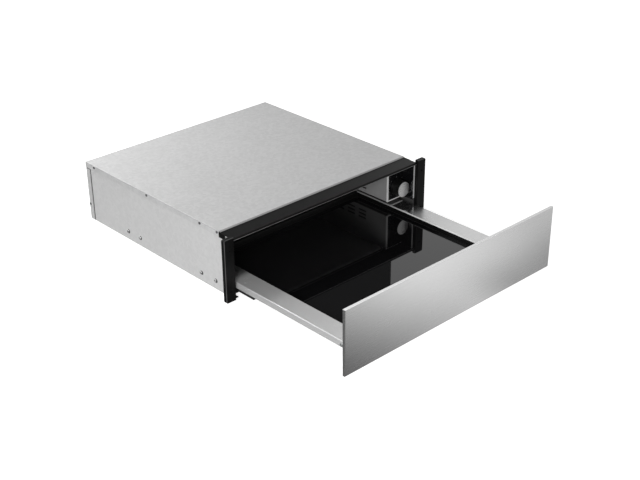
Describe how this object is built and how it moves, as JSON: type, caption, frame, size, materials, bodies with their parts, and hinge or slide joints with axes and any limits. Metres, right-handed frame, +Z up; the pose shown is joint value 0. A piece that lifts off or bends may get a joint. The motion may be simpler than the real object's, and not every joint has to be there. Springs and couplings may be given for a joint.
{
  "type": "warming drawer",
  "caption": "Built-in push-to-open warming drawer, steel casing with black front frame, brushed steel front, glass-floored drawer on telescopic runners, side control panel with one knob.",
  "frame": {"origin": "niche floor, midway between the side walls, in the plane where the fixing flanges seat", "axes": "+X right seen from the front, -Y out of the niche towards the user, +Z up"},
  "size_m": [0.594, 0.869, 0.143],
  "materials": {
    "galvanised": "satin",
    "black_sheet": "gloss",
    "fastener_zinc": "satin",
    "cavity_steel": "satin",
    "mineral_wool": "matte",
    "black_gloss": "gloss",
    "black_plastic": "matte",
    "knob_metal": "brushed",
    "motor_iron": "satin",
    "copper_bulb": "satin",
    "element_steel": "satin",
    "runner_black": "satin",
    "runner_zinc": "satin",
    "tray_steel": "satin",
    "black_glass": "gloss",
    "black_rubber": "matte",
    "brushed_front": "brushed",
    "latch_plastic": "satin"
  },
  "bodies": {
    "casing": {"casing_base": "galvanised", "left_side_wall": "galvanised", "right_side_wall": "galvanised", "top_cover": "galvanised", "rear_panel": "galvanised", "front_top_bar": "black_sheet", "left_fixing_flange": "black_sheet", "right_fixing_flange": "black_sheet", "front_sill": "black_sheet", "cover_screws": "fastener_zinc", "rear_panel_screws": "fastener_zinc", "runner_rivets": "fastener_zinc", "cavity_ceiling": "cavity_steel", "cavity_left_liner": "cavity_steel", "cavity_rear_liner": "cavity_steel", "cavity_insulation": "mineral_wool", "control_housing": "galvanised", "control_fascia": "black_gloss", "control_side_cheek": "black_gloss", "thermostat_body": "black_plastic", "sensor_bulb": "copper_bulb", "terminal_block": "black_plastic", "cable_gland": "black_plastic", "fan_mount": "galvanised", "fan_motor": "motor_iron", "heating_element": "element_steel", "heater_bracket": "cavity_steel", "left_runner_bracket": "galvanised", "right_runner_bracket": "galvanised", "left_runner_outer": "runner_black", "right_runner_outer": "runner_black", "push_latch_body": "black_plastic"},
    "drawer": {"front_panel": "brushed_front", "panel_backing": "tray_steel", "left_tray_rail": "tray_steel", "right_tray_rail": "tray_steel", "front_tray_rail": "tray_steel", "rear_tray_rail": "tray_steel", "tray_pan": "tray_steel", "glass_base": "black_glass", "glass_seal": "black_rubber", "left_runner_inner": "runner_zinc", "right_runner_inner": "runner_zinc", "runner_screws": "fastener_zinc", "left_panel_bracket": "tray_steel", "right_panel_bracket": "tray_steel", "panel_adjusters": "fastener_zinc", "panel_buffers": "black_rubber", "latch_strike": "runner_zinc"},
    "left_middle": {"left_runner_middle": "runner_black"},
    "right_middle": {"right_runner_middle": "runner_black"},
    "left_outer_cage": {"left_outer_ball_cage": "runner_zinc"},
    "right_outer_cage": {"right_outer_ball_cage": "runner_zinc"},
    "left_inner_cage": {"left_inner_ball_cage": "runner_zinc"},
    "right_inner_cage": {"right_inner_ball_cage": "runner_zinc"},
    "latch_plunger_body": {"latch_plunger": "latch_plastic"},
    "knob": {"knob_body": "black_plastic", "knob_disc": "knob_metal", "thermostat_shaft": "knob_metal"},
    "fan_wheel": {"fan_impeller": "black_plastic"}
  },
  "joints": [
    {"name": "drawer_slide", "type": "slide", "parent": "casing", "child": "drawer", "axis": [0, -1, 0], "range_m": [-0.335, 0]},
    {"name": "left_middle_slide", "type": "slide", "parent": "casing", "child": "left_middle", "axis": [0, -1, 0], "range_m": [-0.1675, 0]},
    {"name": "right_middle_slide", "type": "slide", "parent": "casing", "child": "right_middle", "axis": [0, -1, 0], "range_m": [-0.1675, 0]},
    {"name": "left_outer_cage_slide", "type": "slide", "parent": "casing", "child": "left_outer_cage", "axis": [0, -1, 0], "range_m": [-0.08375, 0]},
    {"name": "right_outer_cage_slide", "type": "slide", "parent": "casing", "child": "right_outer_cage", "axis": [0, -1, 0], "range_m": [-0.08375, 0]},
    {"name": "left_inner_cage_slide", "type": "slide", "parent": "casing", "child": "left_inner_cage", "axis": [0, -1, 0], "range_m": [-0.25125, 0]},
    {"name": "right_inner_cage_slide", "type": "slide", "parent": "casing", "child": "right_inner_cage", "axis": [0, -1, 0], "range_m": [-0.25125, 0]},
    {"name": "latch_plunger_slide", "type": "slide", "parent": "casing", "child": "latch_plunger_body", "axis": [0, -1, 0], "range_m": [-0.01, 0]},
    {"name": "knob_turn", "type": "hinge", "parent": "casing", "child": "knob", "pos_m": [0.2415, 0.02, 0.0737], "axis": [0, 1, 0], "range_deg": [0, 270]},
    {"name": "fan_spin", "type": "hinge", "parent": "casing", "child": "fan_wheel", "pos_m": [0.225, 0.26, 0.0864], "axis": [1, 0, 0], "continuous": true}
  ],
  "couplings": [
    {"joint": "left_middle_slide", "follows": "drawer_slide", "ratio": 0.5},
    {"joint": "right_middle_slide", "follows": "drawer_slide", "ratio": 0.5},
    {"joint": "left_outer_cage_slide", "follows": "drawer_slide", "ratio": 0.25},
    {"joint": "right_outer_cage_slide", "follows": "drawer_slide", "ratio": 0.25},
    {"joint": "left_inner_cage_slide", "follows": "drawer_slide", "ratio": 0.75},
    {"joint": "right_inner_cage_slide", "follows": "drawer_slide", "ratio": 0.75},
    {"joint": "latch_plunger_slide", "follows": "drawer_slide", "ratio": 0.029851}
  ]
}
